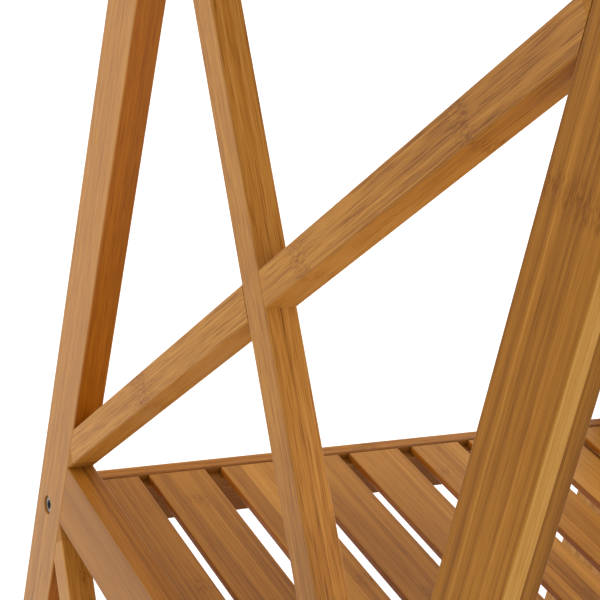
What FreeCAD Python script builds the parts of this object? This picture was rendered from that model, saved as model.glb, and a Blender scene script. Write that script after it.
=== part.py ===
import FreeCAD, Part
import math
import os
import re

import Sketcher
from FreeCAD import Placement, Rotation, Vector

# Ladder shelf with two glued side frames, each crossed by X braces, and three slatted shelves
# bolted between them. X runs from the left side frame to the right one, Y from front to rear
# and Z up. The origin is on the floor, under the middle of the shelf. All sizes are in millimetres.

SIZES = {
    # bars
    "stock_thick": 16,
    "post_wide": 36,
    "side_rail_tall": 37.5,
    "shelf_rail_tall": 30,
    "edge_round": 1,
    # side frame
    "clear_depth": 328,
    "bay_tall": 380,
    "leg_clear": 95,
    "brace_end_tall": 25.5,
    # shelf
    "inner_width": 410,
    "shelf_drop": 22.5,
    "rail_step": 12,
    "rebate_wide": 6.5,
    "rebate_deep": 4.5,
    "slat_wide": 37.5,
    "slat_thick": 4.5,
    "slat_end_gap": 0.5,
    "slat_first_gap": 1,
    "slat_gap_one": 6.5,
    "slat_gap_two": 11,
    "slat_gap_three": 9,
    "slat_gap_four": 8,
    "slat_gap_five": 10.5,
    "slat_gap_six": 8.5,
    "slat_gap_seven": 9,
    "slat_gap_eight": 8.5,
    "batten_tall": 10,
    "batten_wide": 15,
    # fasteners and pads
    "bolt_diameter": 6,
    "bolt_bore": 6.5,
    "bolt_long": 54,
    "head_diameter": 10,
    "head_tall": 6,
    "head_bevel": 0.6,
    "socket_across": 5,
    "socket_deep": 3,
    "recess_diameter": 11,
    "recess_deep": 7,
    "end_bore_deep": 50,
    "nut_diameter": 10,
    "nut_bore": 10.2,
    "nut_long": 12,
    "nut_bore_deep": 12.5,
    "nut_from_end": 35,
    "dowel_diameter": 5.9,
    "dowel_bore": 6,
    "dowel_end_gap": 0.5,
    "dowel_edge": 9,
    "rail_dowel_in_post": 15,
    "rail_dowel_in_rail": 15,
    "brace_dowel_in_post": 13,
    "brace_dowel_in_brace": 6,
    "batten_dowel_in_rail": 7,
    "batten_dowel_in_batten": 16,
    "pad_thick": 3,
    "pad_wide": 14,
    "pad_long": 32,
    "pad_round": 3,
}
SLAT_GAPS = [alias for alias in SIZES if alias.startswith("slat_gap_")]
SLATS = range(len(SLAT_GAPS) + 1)
SHELVES = ["bottom", "middle", "top"]
BAYS = ["lower", "upper"]
SIDES = ["left", "right"]
ENDS = ["front", "rear"]

doc = FreeCAD.newDocument("ladder_shelf")
sheet = doc.addObject("Spreadsheet::Sheet", "Sizes")
for row, (alias, number) in enumerate(SIZES.items(), start=1):
    sheet.set(f"A{row}", alias)
    sheet.set(f"B{row}", str(number))
    sheet.setAlias(f"B{row}", alias)
doc.recompute()

nodes = []


# ---- formulas: sums written with the sheet's names ----

def formula(text):
    return re.sub(r"[a-z]\w*", lambda word: "Sizes." + word.group(), str(text))


def number_of(text):
    return float(sheet.evalExpression(formula(text)))


def bind(target, prop, text):
    target.setExpression(prop, formula(text))


# Heights above the post's foot.
def rail_bottom(level):
    return f"leg_clear + {level} * (side_rail_tall + bay_tall)"


def rail_top(level):
    return f"{rail_bottom(level)} + side_rail_tall"


def bolt_height(level):
    return f"{rail_top(level)} - shelf_drop - shelf_rail_tall / 2"


def batten_dowel_height(level):
    return f"{rail_top(level)} - shelf_drop - slat_thick - batten_tall / 2"


BOLT_FROM_POST_EDGE = "(rail_step + stock_thick / 2)"
SLAT_LONG = "(clear_depth + 2 * (rail_step + rebate_wide - slat_end_gap))"


# ---- sketches and features ----

def new_body(name):
    body = doc.addObject("PartDesign::Body", name)
    body.Label = name
    nodes.append(body)
    return body


def put(target, along_x, along_y, along_z):
    bind(target, ".Placement.Base.x", along_x)
    bind(target, ".Placement.Base.y", along_y)
    bind(target, ".Placement.Base.z", along_z)


def new_sketch(body, role, offset="0"):
    """A sketch on an origin plane of the body, moved along the plane's normal by the offset."""
    sketch = body.newObject("Sketcher::SketchObject", "Sketch")
    plane = next(item for item in body.Origin.OriginFeatures if item.Role == role)
    sketch.AttachmentSupport = [(plane, "")]
    sketch.MapMode = "FlatFace"
    bind(sketch, ".AttachmentOffset.Base.z", offset)
    return sketch


def fix_point(sketch, shape, vertex, along, up):
    for kind, text in (("DistanceX", along), ("DistanceY", up)):
        if text == "0":
            axis = -2 if kind == "DistanceX" else -1
            sketch.addConstraint(Sketcher.Constraint("PointOnObject", shape, vertex, axis))
            continue
        limit = Sketcher.Constraint(kind, -1, 1, shape, vertex, number_of(text))
        bind(sketch, f"Constraints[{sketch.addConstraint(limit)}]", text)


def draw_polygon(sketch, corners):
    points = [Vector(number_of(along), number_of(up), 0) for along, up in corners]
    following = points[1:] + points[:1]
    lines = [sketch.addGeometry(Part.LineSegment(*ends)) for ends in zip(points, following)]
    for line, after in zip(lines, lines[1:] + lines[:1]):
        sketch.addConstraint(Sketcher.Constraint("Coincident", line, 2, after, 1))
    for line, (along, up) in zip(lines, corners):
        fix_point(sketch, line, 1, along, up)


def draw_rectangle(sketch, wide, tall):
    draw_polygon(sketch, [("0", "0"), (wide, "0"), (wide, tall), ("0", tall)])


def draw_circles(sketch, diameter, centres):
    for along, up in centres:
        middle = Vector(number_of(along), number_of(up), 0)
        ring = Part.Circle(middle, Vector(0, 0, 1), number_of(diameter) / 2)
        circle = sketch.addGeometry(ring)
        size = Sketcher.Constraint("Diameter", circle, number_of(diameter))
        bind(sketch, f"Constraints[{sketch.addConstraint(size)}]", diameter)
        fix_point(sketch, circle, 3, along, up)


def add_pad(body, sketch, length, reverse=False):
    pad = body.newObject("PartDesign::Pad", "Pad")
    pad.Profile = sketch
    pad.Reversed = reverse
    bind(pad, "Length", length)
    return pad


def add_pocket(body, sketch, depth, reverse=False):
    """Cuts against the sketch's normal, or along it when reverse is True."""
    pocket = body.newObject("PartDesign::Pocket", "Pocket")
    pocket.Profile = sketch
    pocket.Reversed = reverse
    bind(pocket, "Length", depth)
    return pocket


def add_fillet(body, feature, wanted, radius="edge_round"):
    doc.recompute()
    edges = enumerate(feature.Shape.Edges, start=1)
    fillet = body.newObject("PartDesign::Fillet", "Fillet")
    fillet.Base = (feature, [f"Edge{place}" for place, edge in edges if wanted(edge)])
    bind(fillet, "Radius", radius)
    return fillet


def every_edge(edge):
    return True


def along(direction):
    """A test for the edges that run in a direction."""
    def wanted(edge):
        run = edge.Vertexes[-1].Point - edge.Vertexes[0].Point
        return run.cross(direction).Length < 0.001 * run.Length
    return wanted


def bore_from_side(body, side_face, diameter, depth, centres):
    """Round holes into the YZ face at the low or high end of the body's X range."""
    low, offset = side_face
    sketch = new_sketch(body, "YZ_Plane", offset)
    draw_circles(sketch, diameter, centres)
    return add_pocket(body, sketch, depth, reverse=low)


def bore_from_front(body, front_face, diameter, depth, centres):
    """Round holes into the XZ face at the low or high end of the body's Y range."""
    low, offset = front_face
    sketch = new_sketch(body, "XZ_Plane", f"0 - {offset}")
    draw_circles(sketch, diameter, centres)
    return add_pocket(body, sketch, depth, reverse=not low)


LOW = (True, "0")


def high(offset):
    return (False, offset)


# ---- side frames ----

def frame_x(side):
    return "0 - inner_width / 2 - stock_thick" if side == "left" else "inner_width / 2"


def outer_side(side):
    return LOW if side == "left" else high("stock_thick")


def inner_side(side):
    return high("stock_thick") if side == "left" else LOW


def make_post(side, end):
    rear = end == "rear"
    post = new_body(f"{side}_{end}_post")
    profile = new_sketch(post, "XY_Plane")
    draw_rectangle(profile, "stock_thick", "post_wide")
    add_fillet(post, add_pad(post, profile, rail_top(len(BAYS))), every_edge)

    bolt_along = BOLT_FROM_POST_EDGE if rear else f"post_wide - {BOLT_FROM_POST_EDGE}"
    bolts = [(bolt_along, bolt_height(level)) for level in range(len(SHELVES))]
    bore_from_side(post, outer_side(side), "recess_diameter", "recess_deep", bolts)
    bore_from_side(post, outer_side(side), "bolt_bore", "stock_thick", bolts)

    face = LOW if rear else high("post_wide")
    middle = "stock_thick / 2"
    rail_dowels = []
    brace_dowels = []
    for level in range(len(SHELVES)):
        rail_dowels.append((middle, f"{rail_bottom(level)} + dowel_edge"))
        rail_dowels.append((middle, f"{rail_top(level)} - dowel_edge"))
    for bay in range(len(BAYS)):
        brace_dowels.append((middle, f"{rail_top(bay)} + brace_end_tall / 2"))
        brace_dowels.append((middle, f"{rail_bottom(bay + 1)} - brace_end_tall / 2"))
    bore_from_front(post, face, "dowel_bore", "rail_dowel_in_post + dowel_end_gap", rail_dowels)
    bore_from_front(post, face, "dowel_bore", "brace_dowel_in_post + dowel_end_gap", brace_dowels)

    along_y = "clear_depth / 2" if rear else "0 - clear_depth / 2 - post_wide"
    put(post, frame_x(side), along_y, "pad_thick")


def make_side_rail(side, level):
    rail = new_body(f"{side}_{SHELVES[level]}_side_rail")
    profile = new_sketch(rail, "XZ_Plane")
    draw_rectangle(profile, "stock_thick", "side_rail_tall")
    bar = add_pad(rail, profile, "clear_depth", reverse=True)
    add_fillet(rail, bar, along(Vector(0, 1, 0)))
    middle = "stock_thick / 2"
    dowels = [(middle, "dowel_edge"), (middle, "side_rail_tall - dowel_edge")]
    for face in (LOW, high("clear_depth")):
        bore_from_front(rail, face, "dowel_bore", "rail_dowel_in_rail + dowel_end_gap", dowels)
    batten_dowel = [("clear_depth / 2", f"{batten_dowel_height(0)} - leg_clear")]
    depth = "batten_dowel_in_rail + dowel_end_gap"
    bore_from_side(rail, inner_side(side), "dowel_bore", depth, batten_dowel)
    put(rail, frame_x(side), "0 - clear_depth / 2", f"pad_thick + {rail_bottom(level)}")


FALLING = [
    ("0", "0"),
    ("0", "brace_end_tall"),
    ("clear_depth", "bay_tall"),
    ("clear_depth", "bay_tall - brace_end_tall"),
]
RISING = [
    ("clear_depth", "0"),
    ("clear_depth", "brace_end_tall"),
    ("0", "bay_tall"),
    ("0", "bay_tall - brace_end_tall"),
]


def make_brace(side, bay, kind):
    """One bar of an X, cut to half its thickness where the other bar crosses it.

    The falling brace, from the rear's top to the front's foot, is whole on the outer face."""
    outline, other = (FALLING, RISING) if kind == "falling" else (RISING, FALLING)
    slope = number_of("bay_tall - brace_end_tall")
    run = Vector(0, number_of("clear_depth"), slope if kind == "falling" else -slope)
    brace = new_body(f"{side}_{BAYS[bay]}_{kind}_brace")
    profile = new_sketch(brace, "YZ_Plane")
    draw_polygon(profile, outline)
    add_fillet(brace, add_pad(brace, profile, "stock_thick"), along(run))

    low, offset = inner_side(side) if kind == "falling" else outer_side(side)
    lap = new_sketch(brace, "YZ_Plane", offset)
    draw_polygon(lap, other)
    add_pocket(brace, lap, "stock_thick / 2", reverse=low)

    front_end = "brace_end_tall / 2" if kind == "falling" else "bay_tall - brace_end_tall / 2"
    rear_end = "bay_tall - brace_end_tall / 2" if kind == "falling" else "brace_end_tall / 2"
    depth = "brace_dowel_in_brace + dowel_end_gap"
    middle = "stock_thick / 2"
    bore_from_front(brace, LOW, "dowel_bore", depth, [(middle, front_end)])
    bore_from_front(brace, high("clear_depth"), "dowel_bore", depth, [(middle, rear_end)])
    put(brace, frame_x(side), "0 - clear_depth / 2", f"pad_thick + {rail_top(bay)}")


# ---- shelves ----

def shelf_top(level):
    return f"pad_thick + {rail_top(level)} - shelf_drop"


def make_shelf_rail(level, end):
    """A bar with a rebate along its inner top edge that the slats' ends lie in."""
    rear = end == "rear"
    rail = new_body(f"{SHELVES[level]}_shelf_{end}_rail")
    ledge = "shelf_rail_tall - rebate_deep"
    inner, outer = ("0", "stock_thick") if rear else ("stock_thick", "0")
    wall = "rebate_wide" if rear else "stock_thick - rebate_wide"
    profile = new_sketch(rail, "YZ_Plane")
    draw_polygon(profile, [
        (inner, "0"),
        (outer, "0"),
        (outer, "shelf_rail_tall"),
        (wall, "shelf_rail_tall"),
        (wall, ledge),
        (inner, ledge),
    ])
    bar = add_pad(rail, profile, "inner_width")

    lengthwise = along(Vector(1, 0, 0))
    ledge_height = number_of(ledge)

    def outer_corner(edge):
        return lengthwise(edge) and abs(edge.Vertexes[0].Z - ledge_height) > 0.001

    add_fillet(rail, bar, outer_corner)

    middle = "shelf_rail_tall / 2"
    for face in (LOW, high("inner_width")):
        bore_from_side(rail, face, "bolt_bore", "end_bore_deep", [("stock_thick / 2", middle)])
    nuts = [("nut_from_end", middle), ("inner_width - nut_from_end", middle)]
    inner_face = LOW if rear else high("stock_thick")
    bore_from_front(rail, inner_face, "nut_bore", "nut_bore_deep", nuts)

    step = "clear_depth / 2 + rail_step"
    along_y = step if rear else f"0 - ({step}) - stock_thick"
    put(rail, "0 - inner_width / 2", along_y, f"{shelf_top(level)} - shelf_rail_tall")


def make_slat(level, place):
    slat = new_body(f"{SHELVES[level]}_shelf_slat_{place + 1}")
    profile = new_sketch(slat, "XY_Plane")
    draw_rectangle(profile, "slat_wide", SLAT_LONG)
    add_fillet(slat, add_pad(slat, profile, "slat_thick"), every_edge)
    gaps = " + ".join(["slat_first_gap"] + SLAT_GAPS[:place])
    along_x = f"0 - inner_width / 2 + {place} * slat_wide + {gaps}"
    put(slat, along_x, f"0 - {SLAT_LONG} / 2", f"{shelf_top(level)} - slat_thick")


def make_batten(level):
    batten = new_body(f"{SHELVES[level]}_shelf_batten")
    profile = new_sketch(batten, "YZ_Plane")
    draw_rectangle(profile, "batten_wide", "batten_tall")
    bar = add_pad(batten, profile, "inner_width")
    add_fillet(batten, bar, along(Vector(1, 0, 0)))
    depth = "batten_dowel_in_batten + dowel_end_gap"
    for face in (LOW, high("inner_width")):
        bore_from_side(batten, face, "dowel_bore", depth, [("batten_wide / 2", "batten_tall / 2")])
    height = f"{shelf_top(level)} - slat_thick - batten_tall"
    put(batten, "0 - inner_width / 2", "0 - batten_wide / 2", height)


# ---- fasteners and pads: one pattern piece, and a node that holds its copies ----

def cylinder(name, diameter, height, base="0"):
    part = doc.addObject("Part::Cylinder", name)
    bind(part, "Radius", f"{diameter} / 2")
    bind(part, "Height", height)
    bind(part, ".Placement.Base.z", base)
    return part


def boolean(kind, name, base, tool):
    part = doc.addObject(kind, name)
    part.Base = base
    part.Tool = tool
    return part


def bolt_pattern_piece():
    """A socket-head bolt: the head's face is at its origin, and the shank runs along +Z."""
    bevel = doc.addObject("Part::Cone", "bolt_head_bevel")
    bind(bevel, "Radius1", "head_diameter / 2 - head_bevel")
    bind(bevel, "Radius2", "head_diameter / 2")
    bind(bevel, "Height", "head_bevel")
    head = cylinder("bolt_head", "head_diameter", "head_tall - head_bevel", "head_bevel")
    shank = cylinder("bolt_shank", "bolt_diameter", "bolt_long", "head_tall")
    socket = doc.addObject("Part::Prism", "bolt_socket")
    socket.Polygon = 6
    bind(socket, "Circumradius", f"socket_across / {math.sqrt(3)}")
    bind(socket, "Height", "socket_deep")
    top = boolean("Part::Fuse", "bolt_head_whole", bevel, head)
    whole = boolean("Part::Fuse", "bolt_whole", top, shank)
    return boolean("Part::Cut", "bolt_pattern", whole, socket)


def nut_pattern_piece():
    """A barrel nut along Z, with its cross bore through the origin along X."""
    barrel = cylinder("nut_barrel", "nut_diameter", "nut_long", "0 - stock_thick / 2")
    thread = cylinder("nut_thread", "bolt_diameter", "2 * nut_diameter")
    thread.Placement.Rotation = Rotation(Vector(0, 0, 1), Vector(1, 0, 0))
    bind(thread, ".Placement.Base.x", "0 - nut_diameter")
    return boolean("Part::Cut", "nut_pattern", barrel, thread)


def pad_pattern_piece():
    body = doc.addObject("PartDesign::Body", "pad_pattern")
    profile = new_sketch(body, "XY_Plane")
    draw_rectangle(profile, "pad_wide", "pad_long")
    slab = add_pad(body, profile, "pad_thick")
    add_fillet(body, slab, along(Vector(0, 0, 1)), "pad_round")
    return body


def add_group(name, pattern, placements):
    copies = []
    for placement in placements:
        copy = pattern.Shape.copy()
        copy.Placement = placement.multiply(pattern.Placement)
        copies.append(copy)
    group = doc.addObject("Part::Feature", name)
    group.Label = name
    group.Shape = Part.Compound(copies)
    group.Placement = Placement()
    nodes.append(group)


def signs():
    """The four corners of the shelf, as signs along X and Y."""
    return [(across, deep) for across in (-1, 1) for deep in (-1, 1)]


def facing(direction):
    return Rotation(Vector(0, 0, 1), direction)


def make_bolts_and_nuts():
    head_face = number_of("inner_width / 2 + stock_thick - recess_deep + head_tall")
    nut_x = number_of("inner_width / 2 - nut_from_end")
    bolt_y = number_of(f"clear_depth / 2 + {BOLT_FROM_POST_EDGE}")
    bolts = []
    nuts = []
    for level in range(len(SHELVES)):
        height = number_of(f"pad_thick + {bolt_height(level)}")
        for across, deep in signs():
            head = Vector(across * head_face, deep * bolt_y, height)
            bolts.append(Placement(head, facing(Vector(-across, 0, 0))))
            middle = Vector(across * nut_x, deep * bolt_y, height)
            nuts.append(Placement(middle, facing(Vector(0, deep, 0))))
    add_group("connecting_bolts", bolt_piece, bolts)
    add_group("barrel_nuts", nut_piece, nuts)


def make_dowels():
    frame_mid = number_of("inner_width / 2 + stock_thick / 2")
    joint_y = number_of("clear_depth / 2")
    rails = []
    braces = []
    battens = []
    for across, deep in signs():
        outward = facing(Vector(0, deep, 0))
        for level in range(len(SHELVES)):
            start = deep * (joint_y - number_of("rail_dowel_in_rail"))
            for text in (f"{rail_bottom(level)} + dowel_edge", f"{rail_top(level)} - dowel_edge"):
                height = number_of(f"pad_thick + {text}")
                rails.append(Placement(Vector(across * frame_mid, start, height), outward))
        for bay in range(len(BAYS)):
            start = deep * (joint_y - number_of("brace_dowel_in_brace"))
            low_end = f"{rail_top(bay)} + brace_end_tall / 2"
            high_end = f"{rail_bottom(bay + 1)} - brace_end_tall / 2"
            for text in (low_end, high_end):
                height = number_of(f"pad_thick + {text}")
                braces.append(Placement(Vector(across * frame_mid, start, height), outward))
    start = number_of("inner_width / 2 - batten_dowel_in_batten")
    for across in (-1, 1):
        for level in range(len(SHELVES)):
            height = number_of(f"pad_thick + {batten_dowel_height(level)}")
            spot = Vector(across * start, 0, height)
            battens.append(Placement(spot, facing(Vector(across, 0, 0))))
    add_group("side_rail_dowels", rail_dowel, rails)
    add_group("brace_dowels", brace_dowel, braces)
    add_group("batten_dowels", batten_dowel, battens)


def make_pads():
    corner_x = number_of("inner_width / 2 + stock_thick / 2")
    corner_y = number_of("clear_depth / 2 + post_wide / 2")
    half = Vector(number_of("pad_wide / 2"), number_of("pad_long / 2"), 0)
    spots = [Vector(across * corner_x, deep * corner_y, 0) - half for across, deep in signs()]
    add_group("foot_pads", pad_piece, [Placement(spot, Rotation()) for spot in spots])


# ---- build ----

for side in SIDES:
    for end in ENDS:
        make_post(side, end)
    for level in range(len(SHELVES)):
        make_side_rail(side, level)
    for bay in range(len(BAYS)):
        make_brace(side, bay, "falling")
        make_brace(side, bay, "rising")

for level in range(len(SHELVES)):
    for end in ENDS:
        make_shelf_rail(level, end)
    for place in SLATS:
        make_slat(level, place)
    make_batten(level)

bolt_piece = bolt_pattern_piece()
nut_piece = nut_pattern_piece()
rail_dowel = cylinder("rail_dowel", "dowel_diameter", "rail_dowel_in_rail + rail_dowel_in_post")
brace_dowel = cylinder("brace_dowel", "dowel_diameter", "brace_dowel_in_brace + brace_dowel_in_post")
batten_dowel = cylinder(
    "batten_dowel", "dowel_diameter", "batten_dowel_in_rail + batten_dowel_in_batten"
)
pad_piece = pad_pattern_piece()
doc.recompute()

make_bolts_and_nuts()
make_dowels()
make_pads()
doc.recompute()


# ---- checks and files ----

for item in doc.Objects:
    if "Invalid" in item.State or "Error" in item.State:
        raise RuntimeError(f"{item.Label} failed: {item.State}")
    if item.TypeId == "PartDesign::Pocket":
        if item.Shape.Volume > item.BaseFeature.Shape.Volume - 1:
            raise RuntimeError(f"{item.Label} cuts nothing")
for node in nodes:
    if node.Shape.isNull() or not node.Shape.isValid():
        raise RuntimeError(f"{node.Label} has no valid shape")

os.makedirs("parts", exist_ok=True)
for node in nodes:
    node.Shape.exportStep(f"parts/{node.Label}.step")
print(len(nodes), "parts written")
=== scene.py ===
import math
import random

import bpy
from mathutils import Matrix, Vector


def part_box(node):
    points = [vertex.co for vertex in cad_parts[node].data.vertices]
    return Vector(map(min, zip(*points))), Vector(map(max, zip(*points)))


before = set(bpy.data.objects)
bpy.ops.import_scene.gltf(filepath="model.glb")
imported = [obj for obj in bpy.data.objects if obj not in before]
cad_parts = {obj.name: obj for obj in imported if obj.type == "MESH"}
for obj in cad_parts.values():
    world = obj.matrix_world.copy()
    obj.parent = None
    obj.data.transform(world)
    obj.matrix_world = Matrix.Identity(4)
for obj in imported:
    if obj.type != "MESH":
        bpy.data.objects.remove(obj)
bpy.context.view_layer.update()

# Ladder shelf of laminated bamboo. All lengths are in metres, in the frame of the CAD part:
# X from the left side frame to the right one, Y from front to rear, Z up from the floor.

SCENE = bpy.context.scene
X = Vector((1, 0, 0))
Y = Vector((0, 1, 0))
Z = Vector((0, 0, 1))
SIDES = ("left", "right")
SHELVES = ("bottom", "middle", "top")
BAYS = ("lower", "upper")
SLAT_COUNT = 9
BRACE_END_TALL = 0.0255  # height of the cut end where a brace meets its post


# ---- small helpers for node trees ----

class Tree:
    """Adds nodes to a node tree and links their inputs."""

    def __init__(self, tree):
        self.tree = tree

    def add(self, kind, inputs=None, **settings):
        node = self.tree.nodes.new(kind)
        for key, value in settings.items():
            setattr(node, key, value)
        for key, value in (inputs or {}).items():
            self.feed(node.inputs[key], value)
        return node

    def feed(self, socket, value):
        """Links a node or a socket to this one, or gives it a plain value."""
        if isinstance(value, bpy.types.Node):
            value = value.outputs[0]
        if isinstance(value, bpy.types.NodeSocket):
            self.tree.links.new(value, socket)
        else:
            socket.default_value = value

    def feed_all(self, node, values):
        for place, value in enumerate(values):
            self.feed(node.inputs[place], value)

    def object_place(self):
        return self.add("ShaderNodeTexCoord").outputs["Object"]

    def math(self, operation, *values):
        node = self.add("ShaderNodeMath", operation=operation)
        self.feed_all(node, values)
        return node.outputs[0]

    def plus(self, total, *values):
        for value in values:
            total = self.math("ADD", total, value)
        return total

    def minus(self, total, *values):
        for value in values:
            total = self.math("SUBTRACT", total, value)
        return total

    def times(self, total, *values):
        for value in values:
            total = self.math("MULTIPLY", total, value)
        return total

    def swing(self, noise, amount):
        """Turns a noise between 0 and 1 into a change of this size, up and down about 0."""
        return self.times(self.minus(noise, 0.5), amount)

    def vector(self, operation, *values, result="Vector"):
        node = self.add("ShaderNodeVectorMath", operation=operation)
        self.feed_all(node, values)
        return node.outputs[result]

    def between(self, value, low, high, start=0.0, end=1.0, kind="SMOOTHSTEP"):
        """Goes from start to end as the value goes from low to high."""
        node = self.add("ShaderNodeMapRange", interpolation_type=kind)
        self.feed_all(node, (value, low, high, start, end))
        return node.outputs[0]

    def near(self, gap, low, high):
        """1 where the gap is under low, and 0 where it is over high."""
        return self.between(gap, low, high, 1.0, 0.0)

    def noise(self, place, scales, detail=2.0, roughness=0.5):
        node = self.add("ShaderNodeTexNoise", {
            "Vector": self.vector("MULTIPLY", place, scales), "Scale": 1.0,
            "Detail": detail, "Roughness": roughness,
        })
        return node.outputs[0]

    def random(self, *values):
        join = self.add("ShaderNodeCombineXYZ")
        self.feed_all(join, values)
        node = self.add("ShaderNodeTexWhiteNoise", {"Vector": join}, noise_dimensions="3D")
        return node.outputs["Value"]

    def mix(self, factor, low, high, blend="MIX"):
        """Mixes two colours. The node's sockets for numbers, vectors and colours share their
        names, so the colours are found by place."""
        node = self.add("ShaderNodeMix", {0: factor, 6: low, 7: high}, data_type="RGBA",
                        blend_type=blend)
        return node.outputs[2]

    def ramp(self, factor, stops):
        node = self.add("ShaderNodeValToRGB", {"Fac": factor})
        elements = node.color_ramp.elements
        while len(elements) < len(stops):
            elements.new(0.5)
        for element, (place, color) in zip(elements, stops):
            element.position = place
            element.color = (*color, 1.0)
        return node.outputs[0]

    def bump(self, height, strength, distance):
        return self.add("ShaderNodeBump", {
            "Height": height, "Strength": strength, "Distance": distance,
        })


def new_material(name):
    material = bpy.data.materials.new(name)
    material.use_nodes = True
    material.node_tree.nodes.clear()
    tree = Tree(material.node_tree)
    shader = tree.add("ShaderNodeBsdfPrincipled")
    tree.add("ShaderNodeOutputMaterial", {"Surface": shader})
    return material, tree, shader


def assign(node_name, material):
    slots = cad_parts[node_name].data.materials
    slots.clear()
    slots.append(material)


# ---- bamboo ----

# The wood's colours and their places on the scale of tones, from 0, dark, to 1, pale.
DARK = (0.195, 0.068, 0.008)
BROWN = (0.335, 0.133, 0.016)
HONEY = (0.455, 0.203, 0.033)
STRAW = (0.575, 0.303, 0.082)
TONES = ((0.0, DARK), (0.33, BROWN), (0.62, HONEY), (1.0, STRAW))
MIDDLE_TONE = 0.56
WHITE = (1.0, 1.0, 1.0, 1.0)
SIDE_TINT = (0.72, 0.50, 0.20)

# Scales of the noises along the grain, across the width and through the thickness, and the
# spans of a noise over which a dash, a speckle or a dot fades in.
CLOUD_SCALES = (5.0, 40.0, 40.0)
BAND_SCALES = (1.6, 320.0, 320.0)
FIBRE_SCALES = (22.0, 1000.0, 1000.0)
DASH_SCALES = (50.0, 2100.0, 2100.0)
WAVER_SCALES = (0.0, 160.0, 160.0)
SPECKLE_SCALES = (240.0, 1250.0, 1250.0)
BEND_SCALES = (160.0, 90.0, 90.0)
END_DOT_SCALE = 1150.0
DASH_SPAN = (0.48, 0.68)
SPECKLE_SPAN = (0.40, 0.62)
END_DOT_SPAN = (0.18, 0.42)
# How far the noise moves with a board's seed, and with each of its strips and layers.
NOISE_SHIFT = (0.731, 0.417, 0.293)

# Lengths, from a face or an edge inwards. A glue line's width is a part of its strip or layer.
STRIP_GLUE = 0.03
LAYER_GLUE = 0.05
GLUE_MARGIN = 0.0012
FACE_SKIN = (0.0001, 0.0009)
END_SKIN = (0.0002, 0.0006)
ARRIS_WIDTH = 0.0011

# Cane joints: how far each strip's and layer's are shifted, as a part of the step between
# them, how far a smudge reaches and wavers, and how far it bends the fibres.
STRIP_SHIFT = 0.43
LAYER_SHIFT = 0.37
SMUDGE_REACH = 0.011
SMUDGE_WAVER = 0.010
SMUDGE_BEND = 0.004

# How much each feature changes the tone, and the length over which a board's painted shade towards
# one end sets in.
STRIP_WEIGHT = 0.20
CLOUD_WEIGHT = 0.36
BAND_WEIGHT = 0.62
FIBRE_WEIGHT = 0.65
DASH_WEIGHT = 0.30
SPECKLE_WEIGHT = 0.36
GLUE_WEIGHT = 0.15
SHADE_FADE_LENGTH = 0.17

# The part of the arris that is painted with a paler highlight and the part of the cut end that shows
# its own colour, the wood's roughness and how much its features add to that, and how far they rise or
# sink in the bump.
ARRIS_HIGHLIGHT = 0.20
END_COVER = 0.8
ROUGHNESS = 0.40
FIBRE_ROUGHNESS = 0.16
END_ROUGHNESS = 0.2
FIBRE_RISE = 0.6
BAND_RISE = 0.3
DASH_DEPTH = 0.35
GLUE_DEPTH = 0.8
SMUDGE_DEPTH = 0.2
BUMP_STRENGTH = 0.35
BUMP_DISTANCE = 0.00025


def side_tint(amount):
    """The colour that multiplies a board's narrow faces: white at 0, the full tint at 1."""
    return (*(1.0 + amount * (channel - 1.0) for channel in SIDE_TINT), 1.0)


# How a board looks where nothing else is said. A bar has two layers and is one strip wide.
PLAIN_LOOK = dict(
    strip=0.05,  # width of a strip
    layer=0.008,  # thickness of a glued layer
    knuckle=0.0,  # place of a cane joint along the grain, from the board's centre
    step=0.31,  # distance between cane joints
    spread=1.0,  # share of the shift between the joints of neighbouring strips and layers
    stretch=0.0,  # growth of the distance between joints along the grain, per metre
    mark=1.0,  # strength of the joints' smudges
    tone=0.0,  # added to the whole board's tone
    outer=0.0,  # added to the second layer's tone and taken from the first one's; on a shelf rail this is painted shade on its inner half
    face=0.0,  # added to the tone of the two wide faces
    side=side_tint(0.35),  # colour that multiplies the narrow faces
    contrast=1.0,  # strength of the strips' and bands' tones
    dash=1.0,  # strength of the fibres and their dark dashes
    shade_drift=0.0,  # painted shade: taken from the tone towards the end where the grain starts
    shade_start=0.17,  # place along the grain where that painted shade begins
)
SOCKET_KINDS = {"place": "NodeSocketVector", "half": "NodeSocketVector", "side": "NodeSocketColor"}


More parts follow.
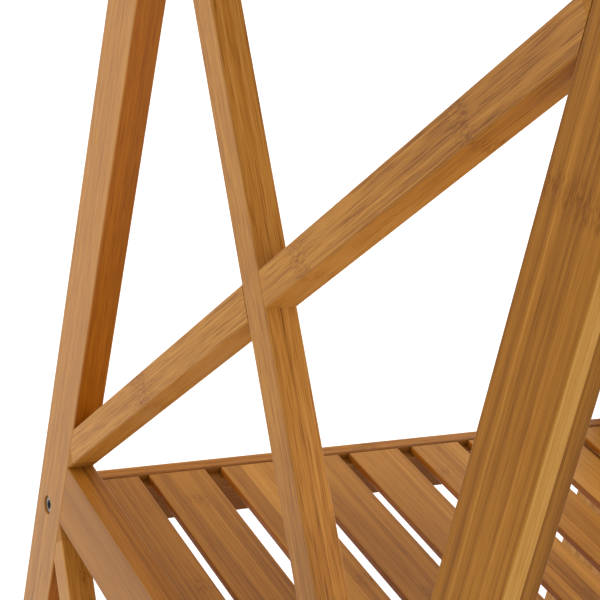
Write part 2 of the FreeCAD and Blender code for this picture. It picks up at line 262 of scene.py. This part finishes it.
class Wood:
    """Makes laminated bamboo in a node group. The place runs along the grain in X, across the
    board's width in Y and through its thickness in Z, from the board's centre, and half is
    half the board's size in those directions."""

    def __init__(self, group):
        self.t = Tree(group)
        self.given = self.t.add("NodeGroupInput").outputs
        self.u, self.v, self.w = self.t.add("ShaderNodeSeparateXYZ", {0: self.given["place"]}).outputs
        self.half = self.t.add("ShaderNodeSeparateXYZ", {0: self.given["half"]}).outputs
        self.lay_strips()
        self.find_faces()
        self.mark_joints()
        self.grow_fibres()
        self.t.add("NodeGroupOutput", {
            "Color": self.color(), "Roughness": self.roughness(), "Height": self.height(),
        })

    def lay_strips(self):
        """Strips lie side by side across the width, and layers are glued face to face."""
        t = self.t
        strip_at = t.plus(t.math("DIVIDE", self.v, self.given["strip"]), 0.5)
        layer_at = t.math("DIVIDE", t.plus(self.w, self.half[2]), self.given["layer"])
        self.strip_id = t.math("FLOOR", strip_at)
        self.layer_id = t.math("FLOOR", layer_at)
        self.strip_tone = t.random(self.strip_id, self.layer_id, self.given["seed"])
        self.glue = t.math("MAXIMUM", self.glue_line(strip_at, STRIP_GLUE, self.v, self.half[1]),
                           self.glue_line(layer_at, LAYER_GLUE, self.w, self.half[2]))

    def glue_line(self, at, width, place, half):
        """A line at each whole number, left out close to the board's own faces."""
        t = self.t
        from_middle = t.math("ABSOLUTE", t.minus(t.math("FRACT", at), 0.5))
        line = t.near(t.minus(0.5, from_middle), 0.0, width)
        inside = t.math("LESS_THAN", t.math("ABSOLUTE", place), t.minus(half, GLUE_MARGIN))
        return t.times(line, inside)

    def find_faces(self):
        """The skin on the wide faces, the narrow faces and the cut ends, and the arrises."""
        t = self.t
        gaps = [t.minus(half, t.math("ABSOLUTE", place))
                for half, place in zip(self.half, (self.u, self.v, self.w))]
        self.end = t.near(gaps[0], *END_SKIN)
        self.narrow = t.near(gaps[1], *FACE_SKIN)
        self.wide = t.near(gaps[2], *FACE_SKIN)
        self.arris = t.times(*(t.near(gap, 0.0, ARRIS_WIDTH) for gap in gaps[1:]))

    def mark_joints(self):
        """A cane's joint leaves a short smudge of speckles where it crosses its strip. The joints
        lie further apart along the grain as the stretch grows."""
        t = self.t
        along = t.minus(self.u, self.given["knuckle"])
        along = t.minus(along, t.times(along, along, self.given["stretch"]))
        shift = t.plus(t.times(self.layer_id, LAYER_SHIFT), t.times(self.strip_id, STRIP_SHIFT))
        cycles = t.plus(t.math("DIVIDE", along, self.given["step"]),
                        t.times(shift, self.given["spread"]))
        nearest = t.times(t.minus(cycles, t.math("ROUND", cycles)), self.given["step"])

        seed = self.given["seed"]
        along_shift, across_shift, through_shift = NOISE_SHIFT
        self.own = t.vector("ADD", self.given["place"], t.add("ShaderNodeCombineXYZ", {
            "X": t.times(seed, along_shift),
            "Y": t.times(t.plus(self.strip_id, seed), across_shift),
            "Z": t.times(t.plus(self.layer_id, seed), through_shift),
        }))
        waver = t.swing(t.noise(self.own, WAVER_SCALES, detail=3.0), SMUDGE_WAVER)
        reach = t.math("ABSOLUTE", t.plus(nearest, waver))
        self.smudge = t.times(t.near(reach, 0.0, SMUDGE_REACH), self.given["mark"])
        self.speckle = t.between(t.noise(self.own, SPECKLE_SCALES), *SPECKLE_SPAN)

    def grow_fibres(self):
        """Fibres run along the grain and bend a little round a cane joint."""
        t = self.t
        bend = t.swing(t.noise(self.own, BEND_SCALES), t.times(self.smudge, SMUDGE_BEND))
        bent = t.vector("ADD", self.own, t.add("ShaderNodeCombineXYZ", {"Y": bend, "Z": bend}))
        self.cloud = t.noise(self.own, CLOUD_SCALES)
        self.bands = t.noise(bent, BAND_SCALES, roughness=0.75)
        self.fibres = t.noise(bent, FIBRE_SCALES, detail=3.0, roughness=0.65)
        dashes = t.between(t.noise(bent, DASH_SCALES, detail=1.0), *DASH_SPAN)
        self.dashes = t.times(dashes, self.given["dash"])

    def tone(self):
        t = self.t
        given = self.given
        second_layer = t.minus(t.times(self.layer_id, 2.0), 1.0)
        # painted shade: darker towards the end where the grain starts
        shaded_end = t.between(self.u, given["shade_start"], t.minus(given["shade_start"], SHADE_FADE_LENGTH))
        gains = (
            given["tone"],
            t.times(t.swing(self.strip_tone, STRIP_WEIGHT), given["contrast"]),
            t.swing(self.cloud, CLOUD_WEIGHT),
            t.times(t.swing(self.bands, BAND_WEIGHT), given["contrast"]),
            t.times(t.swing(self.fibres, FIBRE_WEIGHT), given["dash"]),
            t.times(second_layer, given["outer"]),
            t.times(self.wide, given["face"]),
        )
        losses = (
            t.times(self.dashes, DASH_WEIGHT),
            t.times(shaded_end, given["shade_drift"]),
            t.times(self.speckle, self.smudge, SPECKLE_WEIGHT),
            t.times(self.glue, GLUE_WEIGHT),
        )
        return t.minus(t.plus(MIDDLE_TONE, *gains), *losses)

    def color(self):
        """The tone's colour, with tinted narrow faces, a painted highlight on the arrises, and dots
        on the cut ends.
        """
        t = self.t
        tint = t.mix(self.narrow, WHITE, self.given["side"])
        color = t.mix(1.0, t.ramp(self.tone(), TONES), tint, blend="MULTIPLY")
        # painted highlight: a paler colour along the arrises
        color = t.mix(t.times(self.arris, ARRIS_HIGHLIGHT), color, (*STRAW, 1.0))
        dots = t.add("ShaderNodeTexVoronoi", {"Vector": self.own, "Scale": END_DOT_SCALE})
        dots = t.between(dots, *END_DOT_SPAN)
        cut = t.mix(dots, (*DARK, 1.0), (*BROWN, 1.0))
        return t.mix(t.times(self.end, END_COVER), color, cut)

    def roughness(self):
        t = self.t
        return t.plus(ROUGHNESS, t.swing(self.fibres, FIBRE_ROUGHNESS),
                      t.times(self.end, END_ROUGHNESS))

    def height(self):
        t = self.t
        raised = t.plus(t.swing(self.fibres, FIBRE_RISE), t.swing(self.bands, BAND_RISE))
        return t.minus(raised, t.times(self.dashes, DASH_DEPTH), t.times(self.glue, GLUE_DEPTH),
                       t.times(self.smudge, SMUDGE_DEPTH))


def make_bamboo_group():
    group = bpy.data.node_groups.new("bamboo", "ShaderNodeTree")
    for label in ("place", "half", "seed", *PLAIN_LOOK):
        kind = SOCKET_KINDS.get(label, "NodeSocketFloat")
        group.interface.new_socket(label, in_out="INPUT", socket_type=kind)
    group.interface.new_socket("Color", in_out="OUTPUT", socket_type="NodeSocketColor")
    for label in ("Roughness", "Height"):
        group.interface.new_socket(label, in_out="OUTPUT", socket_type="NodeSocketFloat")
    Wood(group)
    return group


BAMBOO = make_bamboo_group()


def bamboo(name, grain, width, size=None, gloss=0.2, **look):
    """Gives a CAD board bamboo whose grain and width run in these directions."""
    low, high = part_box(name)
    centre = (low + high) / 2
    grain = Vector(grain).normalized()
    width = Vector(width).normalized()
    turn = Matrix((grain, width, grain.cross(width)))
    if size is None:
        size = [abs(axis.dot(high - low)) for axis in turn]
    material, t, shader = new_material(name + "_bamboo")
    place = t.add("ShaderNodeMapping", {
        "Vector": t.object_place(), "Rotation": turn.to_euler(), "Location": -(turn @ centre),
    })
    half = [length / 2 for length in size]
    wood = t.add("ShaderNodeGroup", node_tree=BAMBOO)
    for key, value in {**PLAIN_LOOK, "place": place, "half": half, **look}.items():
        t.feed(wood.inputs[key], value)
    t.feed(shader.inputs["Base Color"], wood.outputs["Color"])
    t.feed(shader.inputs["Roughness"], wood.outputs["Roughness"])
    t.feed(shader.inputs["Normal"], t.bump(wood.outputs["Height"], BUMP_STRENGTH, BUMP_DISTANCE))
    shader.inputs["Specular IOR Level"].default_value = gloss
    assign(name, material)


# ---- the boards ----

# A shelf rail's outer half is paler and its inner half darker, which is painted shade in the rebate
# and the gaps between the slats. A batten is a single layer, and a slat is a single layer of three
# strips with painted shade towards its front end. The slats grow paler from the left one to the right
# one, which is painted shade near the left side frame.
RAIL_LOOK = dict(tone=-0.27, gloss=0.14)
RAIL_INNER_SHADE = {"front": 0.3, "rear": -0.3}
BATTEN_LOOK = dict(layer=0.01)
SLAT_LOOK = dict(strip=0.0125, layer=0.02, mark=0.6, contrast=1.2, side=side_tint(1.0), dash=0.4,
                 shade_drift=0.2, gloss=0.16)
SLAT_TONE = -0.37
SLAT_SHADE_STEP = 0.05
SLAT_TONE_SPREAD = 0.03

# Boards whose cane joints, layers or tone are chosen rather than drawn at random.
CHOSEN = {
    # Painted shade: the front post's narrow faces are darkened by a grey tint.
    "left_front_post": dict(knuckle=0.380, step=0.46, spread=0.0, tone=-0.06, outer=0.19,
                            face=-0.46, contrast=1.6, dash=0.45, side=(0.74, 0.76, 0.76, 1.0),
                            mark=0.6, gloss=0.06),
    "left_rear_post": dict(knuckle=-0.087, step=0.47, spread=0.0, tone=0.0, dash=0.8,
                           side=(0.82, 0.58, 0.12, 1.0)),
    # Painted shade: each upper brace is darker towards its front end, the falling brace's lower end
    # and the rising brace's upper end.
    "left_upper_falling_brace": dict(knuckle=0.232, step=0.46, spread=0.0, tone=0.11, face=-0.20,
                                     side=side_tint(0.3), dash=1.2, shade_drift=0.27, shade_start=-0.02,
                                     gloss=0.17),
    "left_upper_rising_brace": dict(knuckle=-0.0437, step=0.1427, stretch=1.08, spread=0.0,
                                    tone=0.27, face=-0.28, side=side_tint(0.5), mark=0.8,
                                    dash=1.1, shade_drift=0.18, shade_start=-0.03, gloss=0.12),
    "left_middle_side_rail": dict(knuckle=-0.1, step=0.4, spread=0.0, tone=-0.36, dash=0.4,
                                  gloss=0.13),
    # Painted shade: the leftmost slat, beside the left side rail, is darker still; the next two
    # slats' tones are set one by one.
    "middle_shelf_slat_1": dict(tone=-0.38),
    "middle_shelf_slat_2": dict(tone=-0.22),
    "middle_shelf_slat_3": dict(tone=-0.08),
}
DRAW = random.Random(7)


def dress(name, grain, width, **values):
    """Draws a board's seed, cane joint and tone, and then uses those that are given or chosen."""
    drawn = dict(seed=DRAW.uniform(1, 50), knuckle=DRAW.uniform(-0.1, 0.1),
                 tone=DRAW.uniform(-0.04, 0.04))
    bamboo(name, grain, width, **{**drawn, **values, **CHOSEN.get(name, {})})


def dress_brace(name, slope):
    """A brace's grain runs from its front end to its rear one, up or down with the slope."""
    low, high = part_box(name)
    thick, deep, tall = high - low
    rise = (tall - BRACE_END_TALL) * slope
    grain = Vector((0, deep, rise)).normalized()
    long = math.hypot(deep, rise)
    across = BRACE_END_TALL * deep / long
    dress(name, grain, (0, -grain.z, grain.y), size=(long, across, thick))


def dress_side_frame(side):
    for end in ("front", "rear"):
        dress(f"{side}_{end}_post", Z, Y)
    for shelf in SHELVES:
        dress(f"{side}_{shelf}_side_rail", Y, Z)
    for bay in BAYS:
        dress_brace(f"{side}_{bay}_falling_brace", 1)
        dress_brace(f"{side}_{bay}_rising_brace", -1)


def dress_shelf(shelf):
    # painted shade: each rail is darker on its inner half
    for end, outer in RAIL_INNER_SHADE.items():
        dress(f"{shelf}_shelf_{end}_rail", X, Z, outer=outer, **RAIL_LOOK)
    dress(f"{shelf}_shelf_batten", X, Y, **BATTEN_LOOK)
    for number in range(1, SLAT_COUNT + 1):
        # painted shade: the slats are darker towards the left side frame
        tone = SLAT_TONE + SLAT_SHADE_STEP * number
        tone += DRAW.uniform(-SLAT_TONE_SPREAD, SLAT_TONE_SPREAD)
        dress(f"{shelf}_shelf_slat_{number}", Y, X, tone=tone, **SLAT_LOOK)


# ---- hardware ----

BRUSH_SCALES = (900.0, 3200.0, 3200.0)
STAIN_SCALES = (260.0, 260.0, 260.0)
STAIN_DARK = 0.6
STEEL_ROUGH = 0.42
STEEL_ROUGH_SPREAD = 0.08
BEECH_ALONG = 60.0
BEECH_ACROSS = 1400.0
BEECH_TONES = ((0.3, (0.46, 0.27, 0.12)), (0.7, (0.66, 0.46, 0.26)))
RUBBER_SCALES = (1500.0, 1500.0, 1500.0)
DUST_SCALES = (120.0, 120.0, 120.0)
RUBBER_TONES = ((0.3, (0.018, 0.017, 0.016)), (0.75, (0.050, 0.047, 0.043)))
NOISE_SPAN = (0.3, 0.7)  # where most of a noise's values lie


def steel(name, color):
    """Brushed and stained steel."""
    material, t, shader = new_material(name + "_steel")
    where = t.object_place()
    marks = t.noise(where, BRUSH_SCALES, detail=3.0)
    stains = t.noise(where, STAIN_SCALES)
    tone = t.plus(t.times(marks, 0.5), t.times(stains, 0.5))
    dark = [channel * STAIN_DARK for channel in color]
    t.feed(shader.inputs["Base Color"], t.ramp(tone, tuple(zip(NOISE_SPAN, (dark, color)))))
    rough = t.between(marks, *NOISE_SPAN, STEEL_ROUGH - STEEL_ROUGH_SPREAD,
                      STEEL_ROUGH + STEEL_ROUGH_SPREAD)
    t.feed(shader.inputs["Roughness"], rough)
    t.feed(shader.inputs["Normal"], t.bump(marks, 0.2, 0.00005))
    shader.inputs["Metallic"].default_value = 1.0
    assign(name, material)


def beech(name, grain):
    """Plain beech whose fibres are long in the grain's direction."""
    material, t, shader = new_material(name + "_beech")
    scales = [BEECH_ALONG if axis else BEECH_ACROSS for axis in grain]
    fibres = t.noise(t.object_place(), scales, detail=3.0)
    t.feed(shader.inputs["Base Color"], t.ramp(fibres, BEECH_TONES))
    t.feed(shader.inputs["Roughness"], t.between(fibres, *NOISE_SPAN, 0.62, 0.5))
    t.feed(shader.inputs["Normal"], t.bump(fibres, 0.25, 0.0001))
    assign(name, material)


def rubber(name):
    """Dark, dusty rubber with a fine grain."""
    material, t, shader = new_material(name + "_rubber")
    where = t.object_place()
    grain = t.noise(where, RUBBER_SCALES)
    dust = t.noise(where, DUST_SCALES, detail=3.0)
    t.feed(shader.inputs["Base Color"], t.ramp(dust, RUBBER_TONES))
    t.feed(shader.inputs["Roughness"], t.between(dust, *NOISE_SPAN, 0.65, 0.85))
    t.feed(shader.inputs["Normal"], t.bump(grain, 0.3, 0.0001))
    assign(name, material)


# ---- camera, floor and light ----

SENSOR_WIDTH = 36.0  # millimetres, as is the lens
LENS = 93.5
CAMERA_PLACE = Vector((-0.5372, -0.5291, 1.0208))
CAMERA_FORWARD = Vector((0.49396, 0.76800, -0.40765))
CAMERA_UP = Vector((0.04336, 0.44650, 0.89373))
FLOOR_HALF = 30.0
FLOOR_SCALES = (0.7, 0.7, 0.7)
FLOOR_TONES = ((0.2, (0.86, 0.86, 0.855)), (0.8, (0.90, 0.90, 0.895)))
ROOM_FRONT = (0.60, -0.62, 0.50)  # direction from which the room is brightest
ROOM_SPAN = (-0.5, 0.9)
ROOM_DIM = 0.36
ROOM_BRIGHT = 1.75
ROOM_COLOR = (1.0, 0.99, 0.975, 1.0)


def make_camera():
    """Stands at the front left, looking down at the left side frame and the middle shelf."""
    data = bpy.data.cameras.new("camera")
    data.sensor_width = SENSOR_WIDTH
    data.lens = LENS
    data.clip_start = 0.01
    data.clip_end = 2 * FLOOR_HALF
    camera = bpy.data.objects.new("camera", data)
    SCENE.collection.objects.link(camera)
    forward = CAMERA_FORWARD.normalized()
    right = forward.cross(CAMERA_UP).normalized()
    turn = Matrix((right, right.cross(forward), -forward)).transposed().to_4x4()
    camera.matrix_world = Matrix.Translation(CAMERA_PLACE) @ turn
    SCENE.camera = camera


def make_floor():
    half = FLOOR_HALF
    corners = [(-half, -half, 0.0), (half, -half, 0.0), (half, half, 0.0), (-half, half, 0.0)]
    mesh = bpy.data.meshes.new("floor")
    mesh.from_pydata(corners, [], [(0, 1, 2, 3)])
    floor = bpy.data.objects.new("floor", mesh)
    SCENE.collection.objects.link(floor)
    material, t, shader = new_material("floor_paint")
    paint = t.ramp(t.noise(t.object_place(), FLOOR_SCALES), FLOOR_TONES)
    t.feed(shader.inputs["Base Color"], paint)
    shader.inputs["Roughness"].default_value = 0.9
    mesh.materials.append(material)


def make_light(name, place, target, width, watts, color):
    data = bpy.data.lights.new(name, "AREA")
    data.shape = "DISK"
    data.size = width
    data.energy = watts
    data.color = color
    lamp = bpy.data.objects.new(name, data)
    lamp.location = place
    lamp.visible_camera = False
    aim = Vector(target) - Vector(place)
    lamp.rotation_euler = aim.to_track_quat("-Z", "Y").to_euler()
    SCENE.collection.objects.link(lamp)


def make_world():
    """A pale room. Its light is stronger above and in front of the shelf than beside and behind
    it, though the backdrop itself looks evenly pale."""
    world = bpy.data.worlds.new("studio")
    world.use_nodes = True
    world.node_tree.nodes.clear()
    t = Tree(world.node_tree)
    toward = t.add("ShaderNodeTexCoord").outputs["Generated"]
    facing = t.vector("DOT_PRODUCT", toward, ROOM_FRONT, result="Value")
    light = t.between(facing, *ROOM_SPAN, ROOM_DIM, ROOM_BRIGHT)
    seen = t.add("ShaderNodeLightPath").outputs["Is Camera Ray"]
    strength = t.between(seen, 0.0, 1.0, light, 1.0, kind="LINEAR")
    glow = t.add("ShaderNodeBackground", {"Color": ROOM_COLOR, "Strength": strength})
    t.add("ShaderNodeOutputWorld", {"Surface": glow})
    SCENE.world = world


for side in SIDES:
    dress_side_frame(side)
for shelf in SHELVES:
    dress_shelf(shelf)
steel("connecting_bolts", color=(0.34, 0.33, 0.31))
steel("barrel_nuts", color=(0.56, 0.55, 0.53))
beech("side_rail_dowels", grain=Y)
beech("brace_dowels", grain=Y)
beech("batten_dowels", grain=X)
rubber("foot_pads")

make_camera()
make_floor()
make_world()
make_light("side", place=(-0.85, 0.55, 0.95), target=(-0.22, 0.14, 0.72), width=0.7, watts=3.2,
           color=(1.0, 0.985, 0.96))
make_light("floor_wash", place=(3.6, 1.0, 2.4), target=(1.2, 2.2, 0.0), width=2.4, watts=90.0,
           color=(1.0, 0.99, 0.97))
SCENE.view_settings.view_transform = "Standard"
SCENE.view_settings.look = "None"
